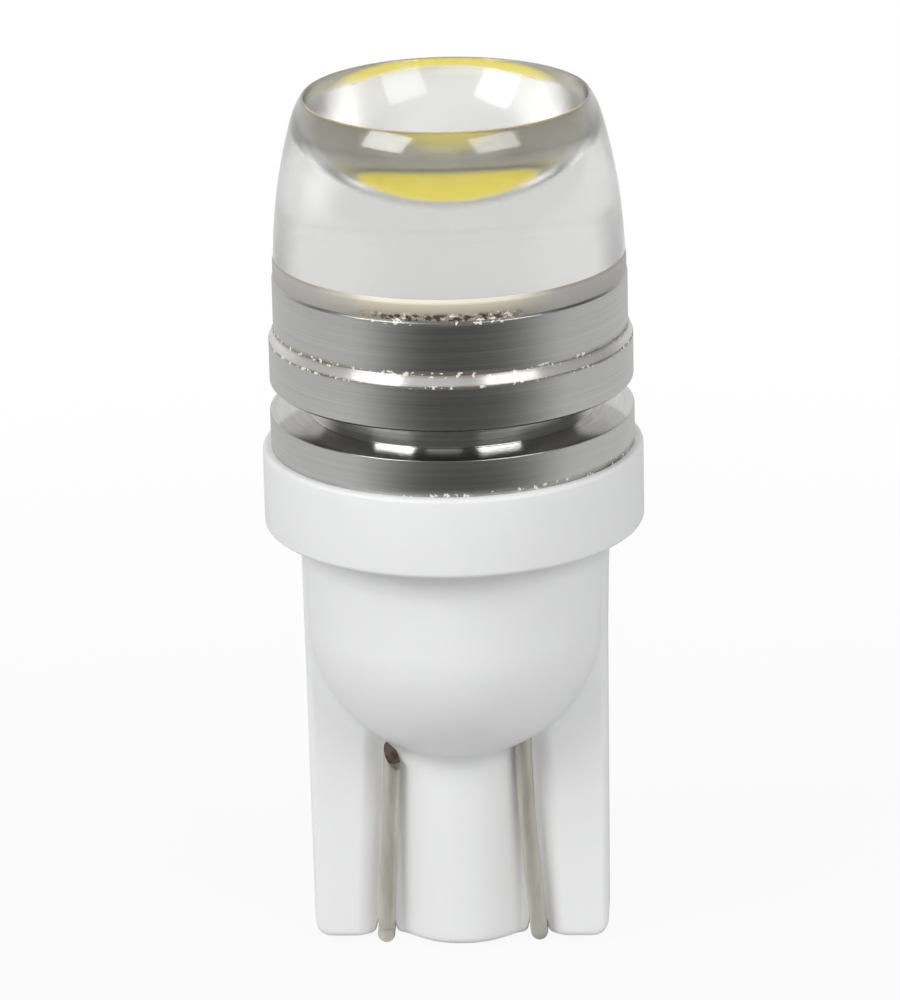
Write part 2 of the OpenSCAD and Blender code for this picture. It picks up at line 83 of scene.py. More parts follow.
# Height of the glue's film on the lens's side, and the distances of its two faces from the lens
FILM_H = 0.5
FILM_IN = 0.012
FILM_OUT = 0.03
# Thin air below the lens's flat underside
UNDER_GAP = 0.005

# Turned body
BAND_CHAMFER = 0.14
BEVEL_H = 0.34
BAND_H = 1.68
RING1_H = 1.36
GROOVE_H = 0.85
RING2_H = 1.1
GROOVE_R = 4.2
RING_STEP = 0.015
BAND_STEP = 0.145
TURNED_EDGE = 0.03
RING_CHAMFER = 0.1
EMITTER_GAP = 0.08
GLUE_T = 0.1

# Base: collar, neck and dome
COLLAR_Z = 13.14
COLLAR_H = 2.41
COLLAR_EDGE = 0.14
NECK_FILLET = 0.12
NECK_R = 4.61
DOME_R = 4.54
NECK_H = 2.82
DOME_Z = COLLAR_Z - NECK_H

# Base: blade
BLADE_END_W = 8.88
BLADE_ROOT_W = 9.06
BLADE_HALF_T = 1.05
BLADE_CORNER = 0.5
BLADE_EDGE = 0.22
GROOVE_FLOOR = 0.76
SHOULDER_W = 0.65
BULGE_HALF_T = 1.66
BULGE_R = 1.9
FLANK_LEAN = 65
NOTCH_H = 0.48
NOTCH_CORNER = 0.2
# How far the blade's blended faces stay below the dome where they run over it
SUNK = 0.01
BLEND_DOME = 0.4
BLEND_BULGE = 0.5
BLEND_FLANK = 0.15

# Lead wires
LEAD_D = 0.52
LEAD_X = 2.3
LEAD_LEAN = 3.05
LEAD_DROP = 0.17
LEAD_BEND_R = 0.32
LEAD_CUT_Z = 6.15
LEAD_GAP = 0.04

RING_SEGMENTS = 256

# Studio: levels of the room, and the floor's radii between which its glow through the lens fades
SOFT_ROOM = 0.43
SEEN_THROUGH = 0.66
REFLECTED_ROOM = (0.25, 0.8, 0.10, 0.72)
REFLECTED_FLOOR = (-1.0, -0.3, 0.08, 0.68)
# The room as seen through the lens: Y of the direction and its level there
FRONT_THROUGH = 1.5
ROOM_THROUGH = ((0.0, FRONT_THROUGH), (0.12, 0.28), (0.42, 0.36), (0.62, SEEN_THROUGH))
# Away from the camera, a little to the left: the dark part of the reflections lies opposite
BACKWARD = (-0.139, 0.990, 0.0)
NEAR_FLOOR = (34, 42)
GREY_STRIP = (0.8, 2.6)
PALE_STRIP = (6.0, 9.0)
# Painted pool of light on the floor behind, a glow seen only through the lens, which the lens shows on its left
# side, and the radii between which it fades
PALE_PATCH = (25.0, 39.0, 0.0)
PATCH_REACH = (1.0, 11.0)
FLOOR_COLOUR = (0.6, 0.6, 0.6)
SOFTBOX_AWAY = 0.36
# Name, azimuth and elevation in degrees, width and height in metres, and brightness
SOFTBOXES = (
    ("left_softbox", -48, 37, (0.19, 0.15), 6.5),
    ("right_softbox", 43, 36, (0.20, 0.14), 4.25),
    ("front_fill", -5, 33, (0.16, 0.06), 0.5),
)

ACRYLIC = (0.985, 0.985, 0.975)
# Painted warm highlight for the front of the lens's rim
PAINTED_WARM_RIM_HIGHLIGHT = (0.98, 0.74, 0.46)
# Painted shade for the lens's lower edges where they are seen slanting
PAINTED_SLANT_SHADE = (0.42, 0.42, 0.41)


def low_high(node):
    """Lowest and highest corner of a CAD node, in millimetres."""
    low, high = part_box(node)
    return np.array(low) / MM, np.array(high) / MM


def arc(cx, cy, r, start, end, steps):
    """Points of an arc, with angles in degrees."""
    turn = np.radians(np.linspace(start, end, steps + 1))
    return [(cx + r * math.cos(a), cy + r * math.sin(a)) for a in turn]


def new_mesh(name, points, faces, sharp_degrees=30):
    """A piece from points in millimetres, smooth apart from its sharp edges."""
    mesh = bpy.data.meshes.new(name)
    mesh.from_pydata([Vector(p) * MM for p in points], [], faces)
    mesh.update()
    mesh.shade_smooth()
    mesh.set_sharp_from_angle(angle=math.radians(sharp_degrees))
    piece = bpy.data.objects.new(name, mesh)
    bpy.context.scene.collection.objects.link(piece)
    return piece


def revolve(name, profile, segments=RING_SEGMENTS, sharp_degrees=30):
    """A turned piece. The profile's (radius, height) points run from one pole to the other or back to the start."""
    points = []
    rings = []
    for r, z in profile:
        if r < 1e-6:
            rings.append([len(points)])
            points.append((0, 0, z))
        else:
            first = len(points)
            rings.append(list(range(first, first + segments)))
            for i in range(segments):
                a = 2 * math.pi * i / segments
                points.append((r * math.cos(a), r * math.sin(a), z))
    faces = []
    closed = len(rings[0]) > 1
    pairs = list(zip(rings, rings[1:] + ([rings[0]] if closed else [])))
    for a, b in pairs:
        for i in range(segments):
            j = (i + 1) % segments
            if len(a) == 1 and len(b) == 1:
                continue
            if len(a) == 1:
                faces.append((a[0], b[j], b[i]))
            elif len(b) == 1:
                faces.append((a[i], a[j], b[0]))
            else:
                faces.append((a[i], a[j], b[j], b[i]))
    return new_mesh(name, points, faces, sharp_degrees)


class Look:
    """A material and its node tree, with short ways to add and join nodes."""

    def __init__(self, name):
        self.material = bpy.data.materials.new(name)
        self.material.use_nodes = True
        self.tree = self.material.node_tree
        self.shader = self.tree.nodes["Principled BSDF"]
        self.output = self.tree.nodes["Material Output"]

    def add(self, kind, **values):
        node = self.tree.nodes.new(kind)
        for key, value in values.items():
            setattr(node, key, value)
        return node

    def join(self, source, target):
        self.tree.links.new(source, target)

    def set(self, **values):
        for key, value in values.items():
            self.shader.inputs[key.replace("_", " ")].default_value = value

    def place(self):
        return self.add("ShaderNodeTexCoord").outputs["Object"]

    def stretch(self, source, scale):
        node = self.add("ShaderNodeMapping")
        node.inputs["Scale"].default_value = scale
        self.join(source, node.inputs["Vector"])
        return node.outputs["Vector"]

    def noise(self, source, scale, detail=3.0, rough=0.5):
        node = self.add("ShaderNodeTexNoise")
        node.inputs["Scale"].default_value = scale
        node.inputs["Detail"].default_value = detail
        node.inputs["Roughness"].default_value = rough
        self.join(source, node.inputs["Vector"])
        return node.outputs["Fac"]

    def math(self, operation, a, b=None):
        node = self.add("ShaderNodeMath", operation=operation)
        for socket, value in zip(node.inputs, (a, b)):
            if value is None:
                continue
            if isinstance(value, (int, float)):
                socket.default_value = value
            else:
                self.join(value, socket)
        return node.outputs["Value"]

    def ramp(self, source, stops):
        node = self.add("ShaderNodeValToRGB")
        ramp = node.color_ramp
        while len(ramp.elements) < len(stops):
            ramp.elements.new(0.5)
        for element, (at, colour) in zip(ramp.elements, stops):
            element.position = at
            element.color = (*colour, 1) if len(colour) == 3 else colour
        self.join(source, node.inputs["Fac"])
        return node.outputs["Color"]

    def height(self):
        """Height above the blade's end, in millimetres."""
        return self.axis("Z")

    def radius(self):
        """Distance from the bulb's axis, in millimetres."""
        flat = self.stretch(self.place(), (1 / MM, 1 / MM, 0))
        length = self.add("ShaderNodeVectorMath", operation="LENGTH")
        self.join(flat, length.inputs[0])
        return length.outputs["Value"]

    def axis(self, name):
        """One coordinate of the place, in millimetres."""
        parts = self.add("ShaderNodeSeparateXYZ")
        self.join(self.place(), parts.inputs["Vector"])
        return self.math("MULTIPLY", parts.outputs[name], 1 / MM)

    def aside(self):
        """Distance to the left or right of the bulb's middle plane, in millimetres."""
        return self.math("ABSOLUTE", self.axis("X"))

    def mix(self, share, a, b):
        node = self.add("ShaderNodeMix", data_type="RGBA")
        for name, value in (("Factor_Float", share), ("A_Color", a), ("B_Color", b)):
            socket = next(s for s in node.inputs if s.identifier == name)
            if isinstance(value, tuple):
                socket.default_value = (*value, 1)
            elif isinstance(value, float):
                socket.default_value = value
            else:
                self.join(value, socket)
        return next(s for s in node.outputs if s.identifier == "Result_Color")

    def near(self, source, at, reach):
        """One where the value is at a height, falling to nothing within the reach."""
        off = self.math("ABSOLUTE", self.math("SUBTRACT", source, float(at)))
        return self.spread(off, 0.0, reach, 1.0, 0.0)

    def spread(self, source, low, high, to_low, to_high):
        node = self.add("ShaderNodeMapRange")
        for name, value in (("From Min", low), ("From Max", high), ("To Min", to_low), ("To Max", to_high)):
            node.inputs[name].default_value = value
        self.join(source, node.inputs["Value"])
        return node.outputs["Result"]

    def bump(self, height, strength, distance):
        node = self.add("ShaderNodeBump")
        node.inputs["Strength"].default_value = strength
        node.inputs["Distance"].default_value = distance * MM
        self.join(height, node.inputs["Height"])
        self.join(node.outputs["Normal"], self.shader.inputs["Normal"])
        return node


def clear_acrylic():
    """Clear acrylic, a little soft in its gloss, with a painted warm highlight along the front of its rim and
    painted shade where its lower side is seen slanting.
    """
    look = Look("clear_acrylic")
    look.set(IOR=1.49, Transmission_Weight=1.0, Coat_Roughness=0.1)
    cloud = look.noise(look.place(), 260)
    look.join(look.spread(cloud, 0.3, 0.7, 0.12, 0.16), look.shader.inputs["Roughness"])
    look.join(look.spread(look.radius(), DISH_R, DISH_R + 0.1, 0.15, 0.9), look.shader.inputs["Coat Weight"])
    top = low_high("lens")[1][2]
    # Painted warm highlight along the top of the rim, on its front half only, where it is also less clear
    rim = look.spread(look.height(), top - 0.14, top, 0.0, 1.0)
    rim = look.math("MULTIPLY", rim, look.spread(look.axis("Y"), -1.5, 1.0, 1.0, 0.0))
    foot = low_high("lens")[0][2]
    # Painted shade: the lens's lower part is darkened where it is seen slanting
    slant = look.add("ShaderNodeLayerWeight").outputs["Facing"]
    shade = look.math("MULTIPLY", look.spread(slant, 0.45, 0.75, 0.0, 1.0),
                      look.spread(look.height(), foot + 1.0, foot + 4.0, 1.0, 0.3))
    shade = look.math("MULTIPLY", shade, look.math("GREATER_THAN", look.height(), float(foot + 0.02)))
    clear = look.mix(shade, look.ramp(rim, [(0.3, ACRYLIC), (0.8, PAINTED_WARM_RIM_HIGHLIGHT)]), PAINTED_SLANT_SHADE)
    look.join(clear, look.shader.inputs["Base Color"])
    look.join(look.spread(rim, 0.7, 0.9, 1.0, 0.5), look.shader.inputs["Transmission Weight"])
    return look.material


def amber_glue():
    """Glue: olive-grey under the lens; in front beige bands, darker towards the bottom and specked, with a painted
    highlight as the cream line at the top; greyer at the sides as painted shade; clear from behind.
    """
    look = Look("lens_glue")
    look.set(IOR=1.45, Roughness=0.3)
    spots = look.noise(look.place(), 1500)
    inner = look.ramp(spots, [(0.3, (0.70, 0.68, 0.58)), (0.6, (0.82, 0.80, 0.71)), (0.75, (0.92, 0.90, 0.82))])
    grit = look.noise(look.stretch(look.place(), (1, 1, 1.6)), 4400, 3.0, 0.6)
    cloud = look.noise(look.stretch(look.place(), (1, 1, 0.3)), 700)
    foot_z = low_high("lens")[0][2]
    up = look.spread(look.height(), foot_z - 0.1, foot_z + FILM_H, 0.0, 1.0)
    # In front the glue is darker towards the bottom, and the cream line at its top is a painted highlight
    bands = look.ramp(up, [(0.05, (0.34, 0.30, 0.24)), (0.35, (0.46, 0.41, 0.33)), (0.72, (0.66, 0.59, 0.46)),
                           (0.84, (0.96, 0.90, 0.74)), (1.0, (0.99, 0.97, 0.88))])
    aside = look.aside()
    low = look.spread(up, 0.2, 0.35, 1.0, 0.0)
    low = look.math("MULTIPLY", low, look.spread(look.math("ADD", aside, look.math("MULTIPLY", cloud, 2.0)), 2.4, 3.4, 1.0, 0.0))
    dark = look.math("MULTIPLY", low, look.math("LESS_THAN", grit, 0.47))
    pale = look.math("MULTIPLY", low, look.math("GREATER_THAN", grit, 0.60))
    front = look.mix(pale, look.mix(dark, bands, (0.09, 0.06, 0.05)), (0.98, 0.97, 0.93))
    # The greyer colour at the left and right sides is painted shade
    side = look.ramp(up, [(0.0, (0.40, 0.39, 0.37)), (0.8, (0.46, 0.45, 0.43)), (0.92, (0.42, 0.37, 0.30))])
    outer = look.mix(look.spread(look.math("ADD", aside, look.math("MULTIPLY", cloud, 1.5)), 2.6, 4.4, 0.0, 1.0), front, side)
    edge_r = low_high("lens")[1][0]
    radius = look.radius()
    edge = look.spread(radius, edge_r - 0.06, edge_r - 0.04, 0.0, 1.0)
    look.join(look.mix(edge, inner, outer), look.shader.inputs["Base Color"])
    look.bump(grit, 0.4, 0.02)
    behind = look.add("ShaderNodeNewGeometry").outputs["Backfacing"]
    at_lens = look.math("LESS_THAN", radius, float(edge_r + (FILM_IN + FILM_OUT) / 2 - 0.004))
    at_lens = look.math("MULTIPLY", at_lens, look.math("GREATER_THAN", look.height(), float(foot_z)))
    behind = look.math("MAXIMUM", behind, at_lens)
    shown = look.add("ShaderNodeMixShader")
    look.join(behind, shown.inputs["Fac"])
    look.join(look.shader.outputs["BSDF"], shown.inputs[1])
    look.join(look.add("ShaderNodeBsdfTransparent").outputs["BSDF"], shown.inputs[2])
    look.join(shown.outputs["Shader"], look.output.inputs["Surface"])
    return look.material


def turning_lines(look, fine):
    """A value that varies along a turned surface's section and hardly round it."""
    parts = look.add("ShaderNodeSeparateXYZ")
    look.join(look.place(), parts.inputs["Vector"])
    along = look.math("ADD", look.math("MULTIPLY", look.radius(), MM), parts.outputs["Z"])
    vector = look.add("ShaderNodeCombineXYZ")
    look.join(look.math("MULTIPLY", parts.outputs["X"], 120.0), vector.inputs["X"])
    look.join(look.math("MULTIPLY", parts.outputs["Y"], 120.0), vector.inputs["Y"])
    look.join(look.math("MULTIPLY", along, fine), vector.inputs["Z"])
    return look.noise(vector.outputs["Vector"], 1.0, 4.0, 0.65)


def turned_levels():
    """Heights of the turned body's steps in millimetres: its top, bevel, groove and lower ring."""
    top = low_high("heat_sink")[1][2]
    band_z = top - BAND_H
    bevel_z = band_z - BEVEL_H
    ring1_z = bevel_z - RING1_H
    groove_z = ring1_z - GROOVE_H
    return top, band_z, bevel_z, ring1_z, groove_z, groove_z - RING2_H


def turned_metal(name, dark, light, rough, stretch, depth, metallic=1.0, painted_front_shade=None):
    """Turned aluminium with lines round it, brown dirt and bright burrs along its edges, and, where a colour is
    given, painted shade over its front.
    """
    look = Look(name)
    look.set(Anisotropic=stretch, Anisotropic_Rotation=0.25)
    tangent = look.add("ShaderNodeTangent", direction_type="RADIAL", axis="Z")
    look.join(tangent.outputs["Tangent"], look.shader.inputs["Tangent"])
    lines = turning_lines(look, 16000.0)
    cloud = look.noise(look.place(), 260)
    metal = look.ramp(lines, [(0.25, dark), (0.7, light)])
    if painted_front_shade:
        # Painted shade: the given dark colour covers the surface's front
        in_front = look.spread(look.axis("Y"), -1.3, -0.7, 1.0, 0.0)
        metal = look.mix(in_front, metal, painted_front_shade)
    height = look.height()
    top, band_z, bevel_z, ring1_z, groove_z, ring2_z = turned_levels()
    edges = [look.near(height, z, reach) for z, reach in
             ((band_z, 0.12), (bevel_z, 0.07), (ring2_z, 0.20), (top - BAND_CHAMFER, 0.10))]
    to_right = look.spread(look.axis("X"), -2.0, 2.5, 0.35, 1.4)
    edges[2] = look.math("MULTIPLY", edges[2], to_right)
    edges[3] = look.math("MULTIPLY", edges[3], look.spread(look.aside(), 1.5, 3.0, 1.0, 0.0))
    edge = edges[0]
    for other in edges[1:]:
        edge = look.math("MAXIMUM", edge, other)
    patches = look.noise(look.place(), 500, 4.0, 0.6)
    dirt = look.math("MULTIPLY", edge, look.spread(patches, 0.35, 0.6, 0.2, 1.0))
    dirty = look.mix(dirt, metal, (0.17, 0.13, 0.08))
    grit = look.noise(look.place(), 6000, 2.0, 0.6)
    specks = look.math("MULTIPLY", look.math("GREATER_THAN", grit, 0.60), look.math("GREATER_THAN", edge, 0.35))
    look.join(look.mix(specks, dirty, (0.90, 0.86, 0.77)), look.shader.inputs["Base Color"])
    dull = look.math("MAXIMUM", specks, look.math("MULTIPLY", dirt, 0.7))
    look.join(look.spread(dull, 0.0, 1.0, metallic, 0.15), look.shader.inputs["Metallic"])
    mixed = look.math("ADD", look.math("MULTIPLY", lines, 0.6), look.math("MULTIPLY", cloud, 0.4))
    gloss = look.spread(mixed, 0.3, 0.7, rough - 0.04, rough + 0.06)
    look.join(look.math("MAXIMUM", gloss, look.math("MULTIPLY", dirt, 0.45)), look.shader.inputs["Roughness"])
    look.bump(look.math("ADD", lines, look.math("MULTIPLY", specks, 3.0)), 0.25, depth)
    return look.material


def turned_aluminium():
    return turned_metal("turned_aluminium", (0.54, 0.54, 0.53), (0.66, 0.655, 0.64), 0.30, 0.3, 0.008)


def bright_aluminium():
    """The groove, which the tool left brighter; on the cup's wall below the lens the same brighter copy is painted
    light that lifts the shade of that deep recess.
    """
    return turned_metal("bright_aluminium", (0.62, 0.615, 0.60), (0.82, 0.815, 0.80), 0.13, 0.75, 0.008)


def sheen_painted_aluminium():
    """The bevel: a brighter, half-metallic copy of the aluminium, a painted sheen that keeps it evenly bright, and
    dull in places.
    """
    return turned_metal("sheen_painted_aluminium", (0.66, 0.64, 0.61), (0.84, 0.825, 0.80), 0.24, 0.7, 0.010, metallic=0.5)


def front_shaded_aluminium():
    """The upper ring's underside, with painted shade darkening its front."""
    return turned_metal("front_shaded_aluminium", (0.62, 0.615, 0.60), (0.82, 0.815, 0.80), 0.18, 0.5, 0.008,
                        painted_front_shade=(0.07, 0.065, 0.06))


def plain_satin(name, colour, shade, rough, grain=900, metallic=0.0, depth=0.004, sss=0.0):
    """A satin finish whose colour and gloss vary a little."""
    look = Look(name)
    look.set(Metallic=metallic, Roughness=rough, Subsurface_Weight=sss)
    if sss:
        look.shader.inputs["Subsurface Scale"].default_value = 0.0008
        look.shader.inputs["Subsurface Radius"].default_value = (1.0, 0.9, 0.8)
    cloud = look.noise(look.place(), grain)
    low = tuple(c * shade for c in colour)
    look.join(look.ramp(cloud, [(0.3, low), (0.7, colour)]), look.shader.inputs["Base Color"])
    look.join(look.spread(cloud, 0.3, 0.7, rough - 0.05, rough + 0.05), look.shader.inputs["Roughness"])
    look.bump(look.noise(look.place(), grain * 5), 0.2, depth)
    return look.material


def yellow_phosphor():
    look = Look("yellow_phosphor")
    # Painted glow: the phosphor gives off a little light of its own colour, though it is no lamp
    look.set(Roughness=0.35, IOR=1.41, Emission_Strength=0.36)
    cloud = look.noise(look.place(), 1200)
    colour = look.ramp(cloud, [(0.3, (0.80, 0.66, 0.08)), (0.7, (0.90, 0.79, 0.14))])
    look.join(colour, look.shader.inputs["Base Color"])
    look.join(colour, look.shader.inputs["Emission Color"])
    look.bump(cloud, 0.2, 0.02)
    return look.material


def lead_metal():
    look = Look("lead_metal")
    look.set(Metallic=0.35, Roughness=0.42)
    streak = look.noise(look.stretch(look.place(), (2500, 2500, 400)), 1.0)
    look.join(look.ramp(streak, [(0.3, (0.45, 0.42, 0.36)), (0.65, (0.62, 0.60, 0.53))]), look.shader.inputs["Base Color"])
    look.bump(streak, 0.25, 0.01)
    return look.material


def lead_copper():
    """The cut end, where the plating ends and the core shows."""
    look = Look("lead_copper")
    look.set(Metallic=0.7, Roughness=0.45)
    spots = look.noise(look.place(), 3000)
    colour = look.ramp(spots, [(0.35, (0.10, 0.07, 0.06)), (0.6, (0.30, 0.22, 0.18))])
    look.join(colour, look.shader.inputs["Base Color"])
    look.bump(spots, 0.5, 0.03)
    return look.material


SATIN = {
    "thermal_paste": ((0.80, 0.80, 0.78), 0.92, 0.6),
    "white_board": ((0.92, 0.92, 0.88), 0.96, 0.35),
    "white_silicone": ((0.86, 0.86, 0.84), 0.95, 0.45),
    "led_die": ((0.30, 0.40, 0.70), 0.9, 0.2),
    "red_insulation": ((0.55, 0.03, 0.02), 0.85, 0.45),
    "black_insulation": ((0.02, 0.02, 0.02), 0.8, 0.45),
    "green_board": ((0.02, 0.20, 0.07), 0.85, 0.35),
    "black_plastic": ((0.025, 0.025, 0.028), 0.8, 0.5),
    "base_glue": ((0.80, 0.80, 0.75), 0.9, 0.4),
}
METALS = {
    "solder": ((0.66, 0.67, 0.68), 0.85, 0.35),
    "tinned_metal": ((0.70, 0.70, 0.71), 0.9, 0.3),
}


def white_plastic():
    return plain_satin("white_plastic", (0.905, 0.91, 0.91), 0.985, 0.42, grain=400, depth=0.002, sss=0.15)


def make_looks():
    looks = {
        "clear_acrylic": clear_acrylic(),
        "lens_glue": amber_glue(),
        "turned_aluminium": turned_aluminium(),
        "bright_aluminium": bright_aluminium(),
        "sheen_painted_aluminium": sheen_painted_aluminium(),
        "front_shaded_aluminium": front_shaded_aluminium(),
        "yellow_phosphor": yellow_phosphor(),
        "white_plastic": white_plastic(),
        "lead_metal": lead_metal(),
        "lead_copper": lead_copper(),
    }
    for name, (colour, shade, rough) in SATIN.items():
        looks[name] = plain_satin(name, colour, shade, rough)
    for name, (colour, shade, rough) in METALS.items():
        looks[name] = plain_satin(name, colour, shade, rough, metallic=1.0)
    return looks


def dress(piece, material):
    piece.data.materials.clear()
    piece.data.materials.append(material)


def dress_nodes(looks):
    """Every CAD node takes the look of its slot in the record."""
    for part in frame["record"]["subparts"]:
        piece = frame["nodes"][part["node"]]
        for place in piece.material_slots:
            place.material = looks[part["material_slot"]]


def stand_for(piece, node, slot, looks):
    dress(piece, looks[slot])
    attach(piece, "root")
    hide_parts(node)


def lens_profile():
    """Flat underside, barrel side, rounder shoulder, narrow rim and a dish."""
    low, high = low_high("lens")
    base_z = low[2]
    height = high[2] - low[2]
    base_r = (high[0] - low[0]) / 2
    dish_ball_r = (DISH_R ** 2 + DISH_DEPTH ** 2) / (2 * DISH_DEPTH)
    dish_z = height - DISH_DEPTH + dish_ball_r
    rim_z = height - RIM_R
    rim_x = math.sqrt((dish_ball_r + RIM_R) ** 2 - (dish_z - rim_z) ** 2)
    side_x = base_r - LENS_SIDE_R
    reach = LENS_SIDE_R - SHOULDER_R
    rim_reach = SHOULDER_R - RIM_R
    run = math.hypot(rim_x - side_x, rim_z)
    turn = math.acos((reach ** 2 + run ** 2 - rim_reach ** 2) / (2 * reach * run))
    lean = math.atan2(rim_z, rim_x - side_x) - turn
    shoulder_x = side_x + reach * math.cos(lean)
    shoulder_z = reach * math.sin(lean)
    lean = math.degrees(lean)
    rim_lean = math.degrees(math.atan2(rim_z - shoulder_z, rim_x - shoulder_x))
    rim_touch = math.degrees(math.atan2(dish_z - rim_z, -rim_x))
    profile = [(0, 0), (base_r * 0.5, 0)]
    profile += arc(side_x, 0, LENS_SIDE_R, 0, lean, 36)
    profile += arc(shoulder_x, shoulder_z, SHOULDER_R, lean, rim_lean, 20)[1:]
    profile += arc(rim_x, rim_z, RIM_R, rim_lean, rim_touch, 8)[1:]
    profile += arc(0, dish_z, dish_ball_r, rim_touch - 180, -90, 60)[1:-1]
    profile += [(0, height - DISH_DEPTH)]
    return [(r, z + base_z) for r, z in profile]


def film_side(z):
    """How far the lens's side leans in at a height above its underside."""
    return math.sqrt(LENS_SIDE_R ** 2 - z ** 2) - LENS_SIDE_R


def make_seam(looks):
    """Glue in the cup, under the lens's edge, over the band's chamfer and as a film up the lens's side."""
    low, high = low_high("lens")
    lens_r, lens_z = high[0], low[2]
    band_r, band_z = low_high("lens_glue")[1][0], low_high("heat_sink")[1][2]
    board_r, board_z = low_high("emitter_board")[1][0], low_high("emitter_board")[1][2]
    profile = [
        (lens_r + FILM_IN, lens_z - UNDER_GAP),
        (board_r + EMITTER_GAP / 2, lens_z - UNDER_GAP),
        (board_r + EMITTER_GAP / 2, board_z),
        (board_r + EMITTER_GAP, board_z),
        (board_r + EMITTER_GAP, band_z),
        (band_r - BAND_CHAMFER, band_z),
        (band_r, band_z - BAND_CHAMFER),
    ]
    profile += [(lens_r + film_side(z) + FILM_OUT, lens_z + z) for z in np.linspace(0.04, FILM_H, 6)]
    profile += [(lens_r + film_side(FILM_H) + FILM_IN, lens_z + FILM_H)]
    piece = revolve("seam_glue", profile, sharp_degrees=35)
    stand_for(piece, "lens_glue", "lens_glue", looks)


def make_lens(looks):
    piece = revolve("clear_lens", lens_profile(), sharp_degrees=40)
    stand_for(piece, "lens", "clear_acrylic", looks)


def rounded(profile, radius, steps=4):
    """A profile whose corners are rounded, apart from its two ends."""
    points = [profile[0]]
    for before, corner, after in zip(profile, profile[1:], profile[2:]):
        a, c, b = (np.array(p, float) for p in (before, corner, after))
        into = (c - a) / np.linalg.norm(c - a)
        away = (b - c) / np.linalg.norm(b - c)
        cut = min(radius, 0.4 * np.linalg.norm(c - a), 0.4 * np.linalg.norm(b - c))
        start, stop = c - into * cut, c + away * cut
        for t in np.linspace(0, 1, steps + 1):
            points.append(tuple((1 - t) ** 2 * start + 2 * t * (1 - t) * c + t * t * stop))
    return points + [profile[-1]]


def make_turned_body(looks):
    """Spigot, lower ring, groove, upper ring, bevel, band and the cup below the lens."""
    low, high = low_high("heat_sink")
    ring2_r = high[0]
    ring1_r = ring2_r - RING_STEP
    band_r = ring1_r - BAND_STEP
    cup_z = low_high("thermal_paste")[0][2]
    cup_r = low_high("emitter_board")[1][0] + EMITTER_GAP
    top, band_z, bevel_z, ring1_z, groove_z, ring2_z = turned_levels()
    spigot_r = low_high("base_glue")[1][0] - GLUE_T
    profile = [
        (0, low[2]),
        (spigot_r, low[2]),
        (spigot_r, ring2_z),
        (ring2_r, ring2_z),
        (ring2_r, groove_z),
        (GROOVE_R, groove_z),
        (GROOVE_R, ring1_z),
        (ring1_r - RING_CHAMFER, ring1_z),
        (ring1_r, ring1_z + RING_CHAMFER),
        (ring1_r, bevel_z),
        (band_r, band_z),
        (band_r, top - BAND_CHAMFER),
        (band_r - BAND_CHAMFER, top),
        (cup_r, top),
        (cup_r, cup_z),
        (0, cup_z),
    ]
    piece = revolve("turned_body", rounded(profile, TURNED_EDGE), sharp_degrees=25)
    stand_for(piece, "heat_sink", "turned_aluminium", looks)
    for name in ("bright_aluminium", "sheen_painted_aluminium", "front_shaded_aluminium"):
        piece.data.materials.append(looks[name])
    for face in piece.data.polygons:
        x, y, z = face.center / MM
        r = math.hypot(x, y)
        in_groove = groove_z - TURNED_EDGE < z < ring1_z - TURNED_EDGE and r < ring2_r - TURNED_EDGE
        # The cup's wall takes the brighter copy as painted light against the shade of the recess
        in_cup = cup_z - TURNED_EDGE < z < top - TURNED_EDGE and r < cup_r + TURNED_EDGE
        if in_groove or in_cup:
            face.material_index = 1
        # The bevel takes the brighter copy with the painted sheen
        elif bevel_z + TURNED_EDGE < z < band_z - TURNED_EDGE:
            face.material_index = 2
        # The upper ring's underside takes the copy with painted shade in front
        elif abs(z - ring1_z) < TURNED_EDGE and r < ring1_r - RING_CHAMFER:
            face.material_index = 3


def smooth_min(a, b, blend):
    near = np.clip(1 - np.abs(a - b) / blend, 0, 1)
    return np.minimum(a, b) - near * near * blend / 4


def smooth_max(a, b, blend):
    return -smooth_min(-a, -b, blend)


def wire_x(z):
    """Distance from the axis to the middle of a lead wire."""
    return LEAD_X - z * math.tan(math.radians(LEAD_LEAN))


def blade_face(x, z):
    """How far the blade's face stands out, without the dome."""
    beside = np.abs(x) - wire_x(z)
    wire_r = LEAD_D / 2
    roll = np.clip((beside - wire_r) / SHOULDER_W, 0, 1)
    panel = GROOVE_FLOOR + (BLADE_HALF_T - GROOVE_FLOOR) * roll * roll * (3 - 2 * roll)
    round_x = np.clip(np.abs(x), 0, BULGE_R * 0.999)
    bulge = BULGE_HALF_T - BULGE_R + np.sqrt(BULGE_R ** 2 - round_x ** 2)
    slope = math.tan(math.radians(FLANK_LEAN))
    flank = GROOVE_FLOOR + (-beside - wire_r - 0.08) * slope
    bulge = smooth_min(bulge, flank, BLEND_FLANK)
    return smooth_max(panel, bulge, BLEND_BULGE)


def end_height(x):
    """Lower outline of the blade: its round corners and the two notches."""
    outer = np.clip(np.abs(x) - (BLADE_END_W / 2 - BLADE_CORNER), 0, BLADE_CORNER)
    corner = BLADE_CORNER - np.sqrt(BLADE_CORNER ** 2 - outer ** 2)
    notch_r = LEAD_D / 2 + LEAD_GAP
    off = np.abs(np.abs(x) - LEAD_X)
    roof = NOTCH_H - notch_r + np.sqrt(np.clip(notch_r ** 2 - off ** 2, 0, None))
    mouth = np.clip(notch_r + NOTCH_CORNER - off, 0, NOTCH_CORNER)
    lip = NOTCH_CORNER - np.sqrt(NOTCH_CORNER ** 2 - mouth ** 2)
    return np.where(off < notch_r, roof, np.maximum(corner, lip))


